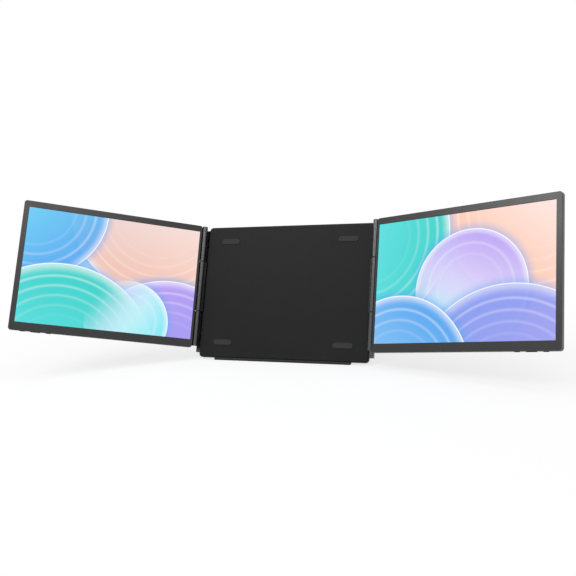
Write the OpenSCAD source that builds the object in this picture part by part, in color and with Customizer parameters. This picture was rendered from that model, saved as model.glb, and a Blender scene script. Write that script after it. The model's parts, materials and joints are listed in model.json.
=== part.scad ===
// Folding screen extender: a centre frame that stands behind a laptop's lid on its own kickstand,
// with one portable display at each side on a full-height three-knuckle friction hinge.
// The origin is the middle of the foot strip's underside, on the desk. +X is to the right as the
// user sees the displays, +Y points away from the user and +Z up. Sizes are in millimetres.
// The right hinge stands further forward than the left one, by the thickness of a display, so that
// the left display folds onto the frame and the right display folds on top of it.

/* [Displays] */
// Width of a display's lit area
display_w = 285.3; // [240:0.1:345]
// Height of a display's lit area
display_h = 190.2; // [165:0.1:215]
// Bezel above the lit area
top_bezel = 10; // [8:0.1:16]
// Bezel below the lit area, over the sockets
bottom_bezel = 13.3; // [13:0.1:20]
// Bezel at the free edge
outer_bezel = 8; // [5:0.1:14]
// Bezel at the hinge edge
hinge_bezel = 3.5; // [3.4:0.1:8]
// Thickness of a display's housing
screen_t = 9; // [8.8:0.1:12]
// Radius of the housing's corners
screen_corner_r = 4.5; // [3:0.1:8]
// Thickness of the bezel ring
bezel_t = 1; // [0.8:0.1:1.2]
// Chamfer round the bezel's front edge
bezel_chamfer = 0.4; // [0.2:0.1:0.6]
// Wall of the rear shell
shell_wall = 1.5; // [1.2:0.1:1.6]
// Bevel round the back of the rear shell
shell_bevel = 1.2; // [0.5:0.1:1.4]
// Thickness of the display panel
panel_t = 1.2; // [0.8:0.1:1.3]
// Border of the panel that lies under the bezel
panel_border = 1.8; // [1:0.1:1.8]
// Thickness of the backlight unit
backlight_t = 2.4; // [1.6:0.1:2.5]

/* [Circuit boards and sockets] */
// Width of the driver board
board_w = 92; // [80:1:110]
// Height of the driver board
board_h = 34; // [26:1:60]
// Thickness of the circuit boards
board_t = 0.8; // [0.6:0.1:1]
// Distance of the driver board from the hinge edge
board_inset = 26; // [22:1:40]
// Depth of the sockets
socket_depth = 8.5; // [7:0.1:9]
// Spacing of the sockets along the lower edge
socket_pitch = 18; // [15:0.5:24]
// Number of ventilation slots above the driver board
vent_count = 13; // [6:1:16]
// Length of a ventilation slot
vent_len = 14; // [8:1:24]

/* [Buttons] */
// Length of a button's cap
button_w = 8; // [6:0.1:10]
// Height of the button caps
button_h = 3; // [2.4:0.1:3.4]
// How far the caps stand out of the lower edge
button_proud = 0.8; // [0.4:0.1:1.2]
// Travel of a button
button_travel = 0.6; // [0.4:0.1:0.8]
// Length of the rocker's cap
rocker_w = 15; // [12:0.1:18]
// Swing of the rocker to each side in degrees
rocker_swing = 3; // [1:0.5:3]
// Diameter of the rocker's pin
rocker_pin_d = 1.4; // [1.2:0.1:1.6]
// Distance from the free edge to the power button
button_inset = 22; // [16:1:40]
// Spacing of the power button, rocker and menu button
button_pitch = 20; // [18:0.5:26]

/* [Display hinges] */
// Outside diameter of the hinge barrels
barrel_d = 9.5; // [9:0.1:11]
// Diameter of the hinge shaft
shaft_d = 5; // [4:0.1:5.5]
// Length of the upper barrel
upper_barrel_len = 60; // [40:1:70]
// Length of the lower barrel
lower_barrel_len = 58; // [40:1:70]
// Distance from the housing's top edge to the top end of the hinge
hinge_top_inset = 1.5; // [0:0.1:10]
// Distance from the housing's bottom edge to the bottom end of the hinge
hinge_bottom_inset = 5; // [3:0.1:12]
// Gap between a barrel and the centre knuckle, with the friction washer in it
knuckle_gap = 1.4; // [1.3:0.1:1.8]
// Thickness of the friction washer
washer_t = 1.2; // [0.4:0.1:1.3]
// Width of the friction washer's ring round the shaft
washer_ring = 1; // [0.8:0.1:1.4]
// Gap between the centre knuckle and the housing's edge
edge_gap = 0.6; // [0.4:0.1:1.2]
// Gap between the barrels and the side of the centre frame
frame_gap = 2; // [1.2:0.1:4]
// Depth of the barrels' tongues inside the rear shell
tongue_depth = 12; // [8:0.5:16]
// Gap between folded displays, and between the left one and the frame
stack_gap = 1.6; // [1.5:0.1:3]
// Gap between a folded display's free edge and the opposite hinge
fold_play = 3.6; // [2.8:0.1:10]
// Angle of the left display forward of the frame's plane
left_angle = 40; // [0:1:90]
// Angle of the right display forward of the frame's plane
right_angle = 20; // [0:1:90]

/* [Centre frame] */
// How far the frame reaches below the displays
frame_drop = 14; // [8:0.1:30]
// Thickness of the frame
frame_t = 9.5; // [9.5:0.1:12]
// Radius of the frame's corners
frame_corner_r = 6; // [4:0.1:14]
// How far the frame leans back from upright in degrees
lean = 20; // [14:1:26]
// Thickness of the front panel's skin
front_skin = 2; // [1.4:0.1:2.2]
// Chamfer round the front panel's face
front_chamfer = 1.4; // [0.6:0.1:1.6]
// Depth of the front panel at its rim
front_depth = 4.4; // [4.2:0.1:4.6]
// Thickness of the stiffening plate inside the frame
stiffener_t = 1; // [0.6:0.1:1.2]
// Length of the foot strip under the frame
foot_len = 240; // [120:1:260]
// Thickness of the foot strip at its thin edge
foot_t = 1.5; // [1:0.1:4]
// Thickness of the pads that a laptop's lid leans on
pad_t = 1; // [0.6:0.1:1]
// Length of those pads
pad_len = 34; // [20:1:60]

/* [Kickstand] */
// Width of the leg
leg_w = 150; // [130:1:220]
// Thickness of the leg's plate
leg_t = 2; // [1.5:0.1:2.2]
// Length of the leg from its hinge to the middle of its foot
leg_len = 160; // [120:1:185]
// Slope of the standing leg from upright in degrees
leg_slope = 15; // [8:1:17]
// Distance of each leg hinge from the leg's side
leg_hinge_inset = 25; // [22:1:40]
// Outside diameter of the leg's knuckles
leg_knuckle_d = 5.6; // [5:0.1:5.8]
// Diameter of the leg's pins
leg_pin_d = 3; // [2:0.1:3.2]
// Length of the fixed knuckle of a leg hinge
leg_fixed_len = 20; // [12:1:24]
// Length of each turning knuckle of a leg hinge
leg_turning_len = 9; // [6:0.5:12]
// Diameter of the rubber foot along the leg's lower edge
leg_foot_d = 5; // [4.6:0.1:6]

/* [Screws] */
// Diameter of the screws
screw_d = 2; // [1.6:0.1:2.2]
// Diameter of the screw heads
screw_head_d = 4; // [3.2:0.1:4.2]
// Height of the screw heads
screw_head_h = 0.9; // [0.6:0.1:1]

/* [Hidden] */
$fn = 64;

// Colours
housing_grey = [0.27, 0.27, 0.27];
hinge_grey = [0.30, 0.30, 0.30];
frame_black = [0.17, 0.17, 0.17];
rubber_black = [0.09, 0.09, 0.09];

// Clearances
fit_play = 0.05;
wall_play = 0.2;
moving_play = 0.3;
cut = 1;

// A display's housing, measured from the hinge axis, the lower edge and the middle plane
barrel_r = barrel_d / 2;
housing_x = barrel_r + edge_gap;
housing_w = hinge_bezel + display_w + outer_bezel;
housing_h = bottom_bezel + display_h + top_bezel;
front_z = screen_t / 2;
bezel_z = front_z - bezel_t;
panel_z = bezel_z - panel_t;
backlight_z = panel_z - backlight_t;
board_z = backlight_z - board_t;
back_z = -screen_t / 2;
back_wall_z = back_z + shell_wall;
panel_x = housing_x + hinge_bezel - panel_border;
panel_y = bottom_bezel - panel_border;
panel_w = display_w + 2 * panel_border;
panel_h = display_h + 2 * panel_border;

// Screw posts behind the bezel: three along the top and three along the bottom
post_d = screw_d + 2.6;
post_xs = [housing_x + 18, housing_x + housing_w / 2, housing_x + housing_w - 10];
top_post_y = housing_h - shell_wall - post_d / 2 - 0.6;
bottom_post_y = shell_wall + post_d / 2 + 0.6;
screw_len = 4;

// Sockets, buttons and switches along the lower edge
socket_shell = 0.35;
usb_size = [8.94, 3.26];
video_size = [11.2, 3.2];
board_x = housing_x + board_inset;
socket_xs = [for (i = [0 : 2]) board_x + board_w / 2 + (i - 1) * socket_pitch];
vent_w = 1.6;
vent_pitch = 5;
vent_xs = [for (i = [0 : vent_count - 1]) board_x + board_w / 2 + (i - (vent_count - 1) / 2) * vent_pitch];
vent_y = socket_depth + board_h + 6 + vent_len / 2;
power_x = housing_x + housing_w - button_inset;
rocker_x = power_x - button_pitch;
menu_x = rocker_x - button_pitch;
button_flange = 1;
button_flange_t = 0.8;
button_flange_y = shell_wall + wall_play;
button_end_y = button_flange_y + button_flange_t + 0.9;
switch_y = button_end_y + button_travel + 0.1;
rocker_reach = rocker_w / 2 + button_flange;
rocker_lift = rocker_reach * sin(rocker_swing) + wall_play;
rocker_bar_y = shell_wall + rocker_lift;
rocker_bar_t = 2.4;
rocker_pin_y = rocker_bar_y + rocker_bar_t / 2;
switch_depth = 2.6;
switch_board_w = 2 * button_pitch + 14;

// Hinge column, measured from the housing's lower edge
lower_barrel_y = hinge_bottom_inset;
knuckle_y = lower_barrel_y + lower_barrel_len + knuckle_gap;
upper_barrel_y = housing_h - hinge_top_inset - upper_barrel_len;
knuckle_len = upper_barrel_y - knuckle_gap - knuckle_y;
cap_t = 1.5;
cap_plug = 2.5;
shaft_y = lower_barrel_y + cap_plug + 0.5;
shaft_len = upper_barrel_y + upper_barrel_len - cap_plug - 0.5 - shaft_y;
tongue_t = 2.5;
tongue_margin = 4;

// Centre frame: local X across, local Y up along the frame, local Z out of its front face
frame_w = housing_w - frame_gap + edge_gap + fold_play;
frame_h = housing_h + frame_drop;
axis_x = frame_w / 2 + frame_gap + barrel_r;
left_axis_z = stack_gap + screen_t / 2;
right_axis_z = left_axis_z + screen_t + stack_gap;
foot_depth = frame_t * cos(lean);
frame_lift = foot_t + frame_t * sin(lean);
stiffener_z = -front_skin - stiffener_t;
rim_wall = 2;
web_side = 1;
web_shoulder = 0.4;
web_back_z = -frame_t + 0.3;
web_chamfer = 0.8;
leaf_y = frame_corner_r + 2;
leaf_top_gap = 5;
leaf_len = frame_h - leaf_top_gap - leaf_y;
leaf_z = -3;
knuckle_screw_d = 2.5;
knuckle_screw_head_d = 4.2;
knuckle_screw_head_h = 1.4;
knuckle_screw_depth = 9;
knuckle_screw_z = -front_depth - knuckle_screw_d / 2 - 0.6;
knuckle_screw_ys = [for (s = [0.06, 0.28, 0.5, 0.72, 0.94]) leaf_y + s * leaf_len];
frame_screw_inset = 12;
frame_screw_xs = [for (s = [-1, 1], x = [frame_w / 2 - frame_screw_inset, leg_w / 2 + frame_screw_inset])
    s * x];
frame_screw_ys = [frame_screw_inset, frame_h - frame_screw_inset];
frame_screw_len = frame_t - front_skin / 2;
pad_w = 9;
pad_inset = 26;
scoop_d = 24;
scoop_y = 34;
scoop_z = -frame_t + 3.5;
pocket_rib = 2;
pocket_skin = 2;
pocket_margin = [14, 22];
pocket_x = leg_w / 2 + scoop_d / 2 + 3;
pocket_step = [(frame_w / 2 - pocket_margin[0] - pocket_x) / 2, (frame_h - 2 * pocket_margin[1]) / 4];

// Kickstand, in the frame's directions
leg_axis_z = -frame_t + 0.2 + leg_t / 2;
leg_hinge_x = leg_w / 2 - leg_hinge_inset;
leg_knuckle_r = leg_knuckle_d / 2;
leg_top = leg_knuckle_r + 0.8;
leg_tab_gap = 0.3;
leg_corner_r = 10;
leg_recess_z = leg_axis_z + leg_t / 2 + 0.6;
leg_groove_z = leg_axis_z + leg_knuckle_r + 0.4;
foot_groove_z = leg_axis_z + leg_foot_d / 2 + 0.4;
leg_angle = lean + leg_slope;
leg_hinge_height = leg_foot_d / 2 + leg_len * cos(leg_slope);
leg_hinge_y = (leg_hinge_height - frame_lift - leg_axis_z * sin(lean)) / cos(lean);
bracket_plate_t = 1.4;
bracket_reach = 14;
bracket_screw_inset = 4;

// ---------- shapes used more than once ----------

// Rectangle with round corners, its lower left corner at the origin
module round_rect(w, h, r) {
    translate([r, 0]) square([w - 2 * r, h]);
    translate([0, r]) square([w, h - 2 * r]);
    for (x = [r, w - r], y = [r, h - r]) translate([x, y]) circle(r);
}

// Slot with half-round ends, centred
module pill(w, h) {
    square([w - h, h], center = true);
    for (s = [-1, 1]) translate([s * (w - h) / 2, 0]) circle(h / 2);
}

// Plate with a chamfer round the edge of its face at z = 0, its back at z = -t
module chamfered_plate(w, h, t, r, chamfer) {
    hull() {
        translate([0, 0, -t]) linear_extrude(t - chamfer) round_rect(w, h, r);
        translate([chamfer, chamfer, -t])
            linear_extrude(t) round_rect(w - 2 * chamfer, h - 2 * chamfer, r - chamfer);
    }
}

// A flat shape in X and Z, drawn out along Y
module along_y(from, len) {
    translate([0, from + len, 0]) rotate([90, 0, 0]) linear_extrude(len) children();
}

// A flat shape in Y and Z, drawn out along X
module along_x(from, len) {
    translate([from, 0, 0]) rotate([90, 0, 90]) linear_extrude(len) children();
}

// Screw with a flat head, its head's top at z = 0 and its shank down
module screw(d, head_d, head_h, len) {
    translate([0, 0, -head_h]) cylinder(d = head_d, h = head_h);
    translate([0, 0, -len]) cylinder(d = d, h = len);
}

// The hole that such a screw sits in
module screw_hole(d, head_d, head_h, len) {
    translate([0, 0, -head_h]) cylinder(d = head_d + 2 * fit_play, h = head_h + cut);
    translate([0, 0, -len - fit_play]) cylinder(d = d + 2 * fit_play, h = len + cut);
}

// ---------- placing ----------

module in_frame() {
    translate([0, -foot_depth / 2, frame_lift]) rotate([90 - lean, 0, 0]) children();
}

module at_left() {
    in_frame() translate([-axis_x, frame_drop, left_axis_z])
        rotate([0, left_angle, 0]) mirror([1, 0, 0]) children();
}

module at_right() {
    in_frame() translate([axis_x, frame_drop, right_axis_z])
        rotate([0, -right_angle, 0]) children();
}

// Things on the frame's left side are the right side's mirrored
module frame_left() in_frame() mirror([1, 0, 0]) children();

module at_leg() {
    in_frame() translate([0, leg_hinge_y, leg_axis_z]) rotate([leg_angle, 0, 0]) children();
}

// Heads of the rear shell's screws, which enter from the back
module at_shell_screws() {
    for (x = post_xs, y = [bottom_post_y, top_post_y])
        translate([x, y, back_z]) rotate([180, 0, 0]) children();
    for (y = [lower_barrel_y + lower_barrel_len / 2, upper_barrel_y + upper_barrel_len / 2], s = [-1, 1])
        translate([housing_x + shell_wall + tongue_depth / 2, y + s * 16, back_z])
            rotate([180, 0, 0]) children();
}

// ---------- a display ----------

module bezel() {
    color(housing_grey) {
        difference() {
            translate([housing_x, 0, front_z])
                chamfered_plate(housing_w, housing_h, bezel_t, screen_corner_r, bezel_chamfer);
            translate([housing_x + hinge_bezel, bottom_bezel, bezel_z - cut])
                cube([display_w, display_h, bezel_t + 2 * cut]);
        }
        for (x = post_xs, y = [bottom_post_y, top_post_y]) bezel_post(x, y);
    }
}

// Post behind the bezel that a shell screw bites into
module bezel_post(x, y) {
    difference() {
        translate([x, y, back_wall_z]) cylinder(d = post_d, h = bezel_z - back_wall_z);
        translate([x, y, back_z]) rotate([180, 0, 0])
            screw_hole(screw_d, screw_head_d, screw_head_h, screw_len);
    }
}

module display_panel() {
    color([0.55, 0.75, 0.88]) translate([panel_x, panel_y, panel_z]) cube([panel_w, panel_h, panel_t]);
}

// Backlight unit: a tray with its corners cut back for the panel's clips
module backlight() {
    notch = 3;
    color([0.55, 0.56, 0.57]) difference() {
        translate([panel_x, panel_y, backlight_z]) cube([panel_w, panel_h, backlight_t]);
        for (x = [panel_x, panel_x + panel_w], y = [panel_y, panel_y + panel_h])
            translate([x - notch, y - notch, backlight_z - cut])
                cube([2 * notch, 2 * notch, backlight_t / 2 + cut]);
    }
}

module rear_shell() {
    color(housing_grey) difference() {
        translate([housing_x, 0, back_z]) mirror([0, 0, 1])
            chamfered_plate(housing_w, housing_h, bezel_z - back_z, screen_corner_r, shell_bevel);
        translate([housing_x + shell_wall, shell_wall, back_wall_z])
            linear_extrude(screen_t)
                round_rect(housing_w - 2 * shell_wall, housing_h - 2 * shell_wall,
                           screen_corner_r - shell_wall);
        socket_cuts();
        vent_cuts();
        button_cuts();
        tongue_cut(lower_barrel_y, lower_barrel_len);
        tongue_cut(upper_barrel_y, upper_barrel_len);
        at_shell_screws() screw_hole(screw_d, screw_head_d, screw_head_h, screw_len);
    }
}

// Windows for the sockets in the lower wall
module socket_cuts() {
    for (i = [0 : 2])
        translate([socket_xs[i], 0, 0])
            along_y(-cut, shell_wall + 2 * cut) pill(socket_size(i).x + 2 * wall_play,
                                                     socket_size(i).y + 2 * wall_play);
}

function socket_size(i) = i < 2 ? usb_size : video_size;

// Ventilation slots in the back wall
module vent_cuts() {
    for (x = vent_xs) translate([x, vent_y, back_z - cut]) rotate(90)
        linear_extrude(shell_wall + 2 * cut) pill(vent_len, vent_w);
}

// Holes for the button caps and the rocker in the lower wall
module button_cuts() {
    for (x = [power_x, menu_x])
        translate([x, 0, 0]) along_y(-cut, shell_wall + 2 * cut)
            pill(button_w + 2 * moving_play, button_h + 2 * moving_play);
    translate([rocker_x, 0, 0]) along_y(-cut, shell_wall + 2 * cut)
        pill(rocker_w + 4 * moving_play, button_h + 2 * moving_play);
}

// Slot in the hinge wall for a barrel's tongue
module tongue_cut(y, len) {
    translate([housing_x - cut, y + tongue_margin - fit_play, back_wall_z])
        cube([shell_wall + 2 * cut, len - 2 * tongue_margin + 2 * fit_play, tongue_t + fit_play]);
}

// Driver board with its chips on the side that faces the rear shell
module driver_board() {
    chip = 10;
    color([0.10, 0.32, 0.20]) translate([board_x, socket_depth, board_z])
        cube([board_w, board_h, board_t]);
    color([0.12, 0.12, 0.13]) for (i = [0 : 2])
        translate([board_x + (i + 0.5) * board_w / 3 - chip / 2, socket_depth + board_h / 2, board_z - 1])
            cube([chip, chip, 1]);
}

// Two power and data sockets and one video socket, each a thin shell round a tongue
module sockets() {
    color([0.72, 0.73, 0.75]) for (i = [0 : 2]) translate([socket_xs[i], 0, 0]) {
        size = socket_size(i);
        difference() {
            along_y(0, socket_depth) pill(size.x, size.y);
            along_y(-cut, socket_depth) pill(size.x - 2 * socket_shell, size.y - 2 * socket_shell);
        }
        along_y(1, socket_depth - 1.5) square([size.x - size.y, 0.7], center = true);
    }
}

// Board on the rear shell's inside with one switch behind each button and two behind the rocker
module switch_board() {
    color([0.10, 0.32, 0.20]) translate([rocker_x - switch_board_w / 2, switch_y, back_wall_z])
        cube([switch_board_w, switch_depth + 2.5, board_t]);
    color([0.62, 0.62, 0.64]) {
        for (x = [power_x, menu_x]) key_switch(x, switch_y);
        for (s = [-1, 1]) key_switch(rocker_x + s * (rocker_w / 2 - 1.5), rocker_switch_y());
    }
}

// The rocker's switches stand clear of the bar at full swing
function rocker_switch_y() = rocker_bar_y + rocker_bar_t + rocker_lift;

module key_switch(x, y) {
    width = 4;
    translate([x - width / 2, y, back_wall_z + board_t])
        cube([width, switch_y + switch_depth - y, 1.2 - back_wall_z - board_t]);
}

// Push button: its cap in the lower wall, a flange behind the wall and a stem to its switch
module push_button(x) {
    color([0.20, 0.20, 0.21]) translate([x, 0, 0]) {
        along_y(-button_proud, button_proud + button_flange_y + button_flange_t) pill(button_w, button_h);
        along_y(button_flange_y, button_flange_t)
            pill(button_w + 2 * button_flange, button_h + 2 * button_flange);
        along_y(button_flange_y, button_end_y - button_flange_y) square([3, 2], center = true);
    }
}

// Rocker: a long cap on a bar that turns on its pin
module rocker() {
    color([0.20, 0.20, 0.21]) difference() {
        translate([rocker_x, 0, 0]) {
            along_y(-button_proud, button_proud + rocker_bar_y + rocker_bar_t / 2)
                pill(rocker_w, button_h);
            along_y(rocker_bar_y, rocker_bar_t) square([2 * rocker_reach, button_h], center = true);
        }
        translate([rocker_x, rocker_pin_y, -button_h])
            cylinder(d = rocker_pin_d + 2 * fit_play, h = 2 * button_h);
    }
}

module rocker_pin() {
    color([0.70, 0.70, 0.72]) translate([rocker_x, rocker_pin_y, back_wall_z])
        cylinder(d = rocker_pin_d, h = bezel_z - back_wall_z);
}

// Hinge barrel with a tongue that lies on the rear shell's inside
module barrel(y, len) {
    color(hinge_grey) difference() {
        union() {
            translate([0, y, 0]) rotate([-90, 0, 0]) cylinder(d = barrel_d, h = len);
            translate([0, y + tongue_margin, back_wall_z])
                cube([housing_x + shell_wall + tongue_depth, len - 2 * tongue_margin, tongue_t]);
        }
        translate([0, y - cut, 0]) rotate([-90, 0, 0])
            cylinder(d = shaft_d + 2 * fit_play, h = len + 2 * cut);
        at_shell_screws() screw_hole(screw_d, screw_head_d, screw_head_h, screw_len);
    }
}

// Domed cap with a plug in the end of a barrel, seated at z = 0
module barrel_cap() {
    dome = 1;
    rotate_extrude() {
        square([barrel_r - dome, cap_t]);
        square([barrel_r, cap_t - dome]);
        intersection() {
            translate([barrel_r - dome, cap_t - dome]) circle(dome);
            translate([barrel_r - dome, cap_t - dome]) square(dome);
        }
        translate([0, -cap_plug]) square([shaft_d / 2, cap_plug]);
    }
}

module barrel_caps() {
    color(hinge_grey) {
        translate([0, upper_barrel_y + upper_barrel_len, 0]) rotate([-90, 0, 0]) barrel_cap();
        translate([0, lower_barrel_y, 0]) rotate([90, 0, 0]) barrel_cap();
    }
}

module shell_screws() {
    color([0.25, 0.25, 0.26]) at_shell_screws() screw(screw_d, screw_head_d, screw_head_h, screw_len);
}

// ---------- the hinge parts that stay with the frame, drawn for the right side ----------

// Centre knuckle on a web that rises from a leaf along the whole of the frame's side
module knuckle(axis_z) {
    y = frame_drop + knuckle_y;
    side_x = frame_w / 2;
    outer_x = axis_x + web_side;
    inner_x = axis_x - barrel_r + 0.5;
    shoulder_z = axis_z - screen_t / 2 - web_shoulder;
    color(hinge_grey) difference() {
        union() {
            translate([axis_x, y, axis_z]) rotate([-90, 0, 0]) cylinder(d = barrel_d, h = knuckle_len);
            along_y(y, knuckle_len) polygon([
                [side_x, leaf_z - cut], [outer_x, leaf_z - cut],
                [outer_x, axis_z], [inner_x, axis_z], [inner_x, shoulder_z], [side_x, shoulder_z]]);
            along_y(leaf_y, leaf_len) polygon([
                [side_x, web_back_z], [outer_x - web_chamfer, web_back_z],
                [outer_x, web_back_z + web_chamfer], [outer_x, leaf_z], [side_x, leaf_z]]);
        }
        translate([axis_x, y - cut, axis_z]) rotate([-90, 0, 0])
            cylinder(d = shaft_d + 2 * fit_play, h = knuckle_len + 2 * cut);
        at_knuckle_screws() knuckle_screw_hole();
    }
}

module at_knuckle_screws() {
    for (y = knuckle_screw_ys) translate([axis_x + web_side, y, knuckle_screw_z])
        rotate([0, 90, 0]) children();
}

module knuckle_screw_hole() {
    screw_hole(knuckle_screw_d, knuckle_screw_head_d, knuckle_screw_head_h,
               axis_x + web_side - frame_w / 2 + knuckle_screw_depth);
}

module side_screws() {
    at_knuckle_screws() screw(knuckle_screw_d, knuckle_screw_head_d, knuckle_screw_head_h,
                              axis_x + web_side - frame_w / 2 + knuckle_screw_depth);
}

module hinge_shaft(axis_z) {
    color([0.75, 0.75, 0.77]) translate([axis_x, frame_drop + shaft_y, axis_z]) rotate([-90, 0, 0])
        cylinder(d = shaft_d, h = shaft_len);
}

// Friction washers, one at each end of the centre knuckle
module friction_washers(axis_z) {
    color([0.25, 0.25, 0.26])
        for (y = [knuckle_y - washer_t, knuckle_y + knuckle_len])
            translate([axis_x, frame_drop + y, axis_z]) rotate([-90, 0, 0]) difference() {
                cylinder(d = shaft_d + 2 * washer_ring, h = washer_t);
                translate([0, 0, -cut]) cylinder(d = shaft_d + 2 * fit_play, h = washer_t + 2 * cut);
            }
}

// ---------- centre frame ----------

module frame_outline(inset) {
    translate([-frame_w / 2 + inset, inset])
        round_rect(frame_w - 2 * inset, frame_h - 2 * inset, frame_corner_r - inset);
}

// Front panel: a shallow tray, open to the back
module frame_front() {
    color(frame_black) in_frame() difference() {
        translate([-frame_w / 2, 0, 0])
            chamfered_plate(frame_w, frame_h, front_depth, frame_corner_r, front_chamfer);
        translate([0, 0, -front_depth - cut])
            linear_extrude(front_depth + cut - front_skin) frame_outline(rim_wall);
        at_frame_screws() screw_hole(screw_d, screw_head_d, screw_head_h, frame_screw_len);
    }
}

module frame_stiffener() {
    color([0.62, 0.63, 0.64]) in_frame() difference() {
        translate([0, 0, stiffener_z]) linear_extrude(stiffener_t) frame_outline(rim_wall + moving_play);
        at_frame_screws() screw_hole(screw_d, screw_head_d, screw_head_h, frame_screw_len);
    }
}

// Rear cover with the recess that takes the folded leg, and with ribs inside
module frame_rear() {
    color(frame_black) in_frame() difference() {
        union() {
            translate([frame_w / 2, 0, -frame_t]) mirror([1, 0, 0]) mirror([0, 0, 1])
                chamfered_plate(frame_w, frame_h, frame_t - front_depth, frame_corner_r, 1);
            translate([0, 0, -front_depth])
                linear_extrude(front_depth + stiffener_z) frame_outline(rim_wall + moving_play);
        }
        leg_recess();
        cover_pockets();
        at_frame_screws() screw_hole(screw_d, screw_head_d, screw_head_h, frame_screw_len);
        for (side = [0, 1]) mirror([side, 0, 0]) at_knuckle_screws() knuckle_screw_hole();
        at_bracket_screws() screw_hole(screw_d, screw_head_d - 0.6, 0.5, bracket_plate_t + 1.6);
    }
}

// Pockets between the ribs, at each side of the recess
module cover_pockets() {
    for (side = [0, 1], i = [0, 1], j = [0 : 3]) mirror([side, 0, 0])
        translate([pocket_x + i * pocket_step[0], pocket_margin[1] + j * pocket_step[1],
                   -frame_t + pocket_skin])
            cube([pocket_step[0] - pocket_rib, pocket_step[1] - pocket_rib, frame_t]);
}

// Room for the leg, its knuckles, its foot and the plates of its brackets, and scoops to grip the leg
module leg_recess() {
    side = 1;
    depth = frame_t + cut;
    for (s = [-1, 1]) translate([s * leg_w / 2, scoop_y, -depth])
        cylinder(d = scoop_d, h = depth + scoop_z);
    translate([-leg_w / 2 - side, -cut, -depth])
        cube([leg_w + 2 * side, leg_hinge_y - leg_top + cut + side, depth + leg_recess_z]);
    translate([-leg_w / 2 - side, -cut, -depth])
        cube([leg_w + 2 * side, leg_hinge_y - leg_len + leg_foot_d + 4 + cut, depth + foot_groove_z]);
    for (s = [-1, 1]) {
        half = leg_fixed_len / 2 + leg_tab_gap + leg_turning_len + side;
        translate([s * leg_hinge_x - half, leg_hinge_y - leg_top - side, -depth])
            cube([2 * half, 2 * leg_top + side, depth + leg_groove_z]);
        translate([s * leg_hinge_x - leg_fixed_len / 2 - wall_play, leg_hinge_y, -depth])
            cube([leg_fixed_len + 2 * wall_play, bracket_reach + wall_play, depth + leg_recess_z]);
    }
}

module at_frame_screws() {
    for (x = frame_screw_xs, y = frame_screw_ys)
        translate([x, y, -frame_t]) rotate([180, 0, 0]) children();
}

module frame_screws() {
    color([0.25, 0.25, 0.26]) in_frame() at_frame_screws()
        screw(screw_d, screw_head_d, screw_head_h, frame_screw_len);
}

module knuckle_screws() {
    color([0.25, 0.25, 0.26]) {
        in_frame() side_screws();
        frame_left() side_screws();
    }
}

// Rubber pads on the front panel, for the laptop's lid to lean on
module lid_pads() {
    color(rubber_black) in_frame()
        for (x = [-1, 1], y = [pad_inset, frame_h - pad_inset])
            translate([x * (frame_w / 2 - pad_inset - pad_len / 2), y, 0])
                linear_extrude(pad_t) pill(pad_len, pad_w);
}

// Wedge-shaped rubber strip that levels the leaning frame on the desk
module frame_foot() {
    color(rubber_black) along_x(-foot_len / 2, foot_len) polygon([
        [-foot_depth / 2, 0], [foot_depth / 2, 0],
        [foot_depth / 2, foot_t], [-foot_depth / 2, frame_lift]]);
}

// ---------- kickstand, drawn folded with its hinge axis along X at the origin ----------

// Plate with rounded upper corners, and tabs up to its turning knuckles
module kickstand_leg() {
    plate_h = leg_len - leg_top;
    color([0.20, 0.20, 0.21]) at_leg() difference() {
        union() {
            translate([-leg_w / 2, -leg_len, -leg_t / 2]) linear_extrude(leg_t) {
                square([leg_w, plate_h - leg_corner_r]);
                round_rect(leg_w, plate_h, leg_corner_r);
            }
            for (s = [-1, 1], t = [-1, 1]) leg_tab(s * leg_hinge_x
                + t * (leg_fixed_len / 2 + leg_tab_gap + leg_turning_len / 2));
        }
        translate([-leg_w, 0, 0]) rotate([0, 90, 0])
            cylinder(d = leg_pin_d + 2 * fit_play, h = 2 * leg_w);
    }
}

// Turning knuckle with the tab that joins it to the plate
module leg_tab(x) {
    translate([x - leg_turning_len / 2, 0, 0]) {
        rotate([0, 90, 0]) cylinder(d = leg_knuckle_d, h = leg_turning_len);
        translate([0, -leg_top - 2, -leg_t / 2]) cube([leg_turning_len, leg_top + 2, leg_t]);
    }
}

// Rubber sleeve along the leg's lower edge
module kickstand_foot() {
    sleeve = 5;
    color(rubber_black) at_leg() difference() {
        translate([0, -leg_len, 0]) along_x(-leg_w / 2, leg_w) {
            circle(d = leg_foot_d);
            translate([0, -leg_foot_d / 2]) square([sleeve, leg_foot_d]);
        }
        translate([-leg_w, -leg_len, -leg_t / 2]) cube([2 * leg_w, 2 * sleeve, leg_t]);
    }
}

module kickstand_pins() {
    len = leg_fixed_len + 2 * (leg_tab_gap + leg_turning_len);
    color([0.75, 0.75, 0.77]) in_frame() for (s = [-1, 1])
        translate([s * leg_hinge_x - len / 2, leg_hinge_y, leg_axis_z]) rotate([0, 90, 0])
            cylinder(d = leg_pin_d, h = len);
}

// Fixed knuckles, each with a block and a plate on the floor of the recess
module kickstand_brackets() {
    color(hinge_grey) in_frame() difference() {
        for (s = [-1, 1]) translate([s * leg_hinge_x - leg_fixed_len / 2, leg_hinge_y, leg_axis_z]) {
            rotate([0, 90, 0]) cylinder(d = leg_knuckle_d, h = leg_fixed_len);
            translate([0, -leg_knuckle_r + 0.8, 0])
                cube([leg_fixed_len, 2 * leg_knuckle_r - 0.8, leg_groove_z - leg_axis_z]);
            translate([0, 0, leg_recess_z - leg_axis_z - bracket_plate_t])
                cube([leg_fixed_len, bracket_reach, bracket_plate_t]);
        }
        for (s = [-1, 1]) translate([s * leg_hinge_x - leg_fixed_len, leg_hinge_y, leg_axis_z])
            rotate([0, 90, 0]) cylinder(d = leg_pin_d + 2 * fit_play, h = 2 * leg_fixed_len);
        at_bracket_screws() screw_hole(screw_d, screw_head_d - 0.6, 0.5, bracket_plate_t + 1.6);
    }
}

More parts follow.
